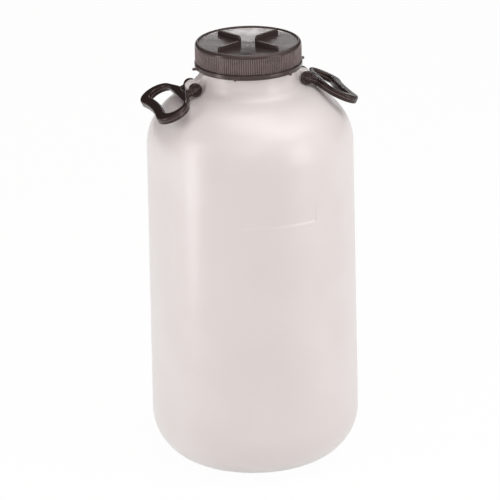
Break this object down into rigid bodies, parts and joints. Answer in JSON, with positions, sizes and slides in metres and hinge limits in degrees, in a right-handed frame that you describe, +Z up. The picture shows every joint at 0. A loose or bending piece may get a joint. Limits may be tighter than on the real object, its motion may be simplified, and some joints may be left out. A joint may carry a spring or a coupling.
{
  "type": "wide-mouth plastic bottle",
  "caption": "Tall round translucent-white plastic bottle with a wide black screw cap and two swinging black carry handles on the shoulder.",
  "frame": {"origin": "middle of the flat base that the bottle stands on", "axes": "+Z up along the bottle's axis; the two handles lie along X; the label recess faces -Y"},
  "size_m": [0.34, 0.34, 0.7167],
  "materials": {
    "milky_plastic": "natural translucent polyethylene, satin",
    "cap_plastic": "black moulded plastic, satin gloss",
    "handle_plastic": "black moulded plastic, satin gloss"
  },
  "bodies": {
    "bottle": {"bottle": "milky_plastic", "cap": "cap_plastic"},
    "handle_left": {"handle_left": "handle_plastic"},
    "handle_right": {"handle_right": "handle_plastic"}
  },
  "joints": [
    {"name": "left_handle_swing", "type": "hinge", "parent": "bottle", "child": "handle_left", "pos_m": [-0.0948, 0, 0.64341], "axis": [0, 1, 0], "range_deg": [0, 95]},
    {"name": "right_handle_swing", "type": "hinge", "parent": "bottle", "child": "handle_right", "pos_m": [0.0948, 0, 0.64341], "axis": [0, -1, 0], "range_deg": [0, 95]}
  ]
}
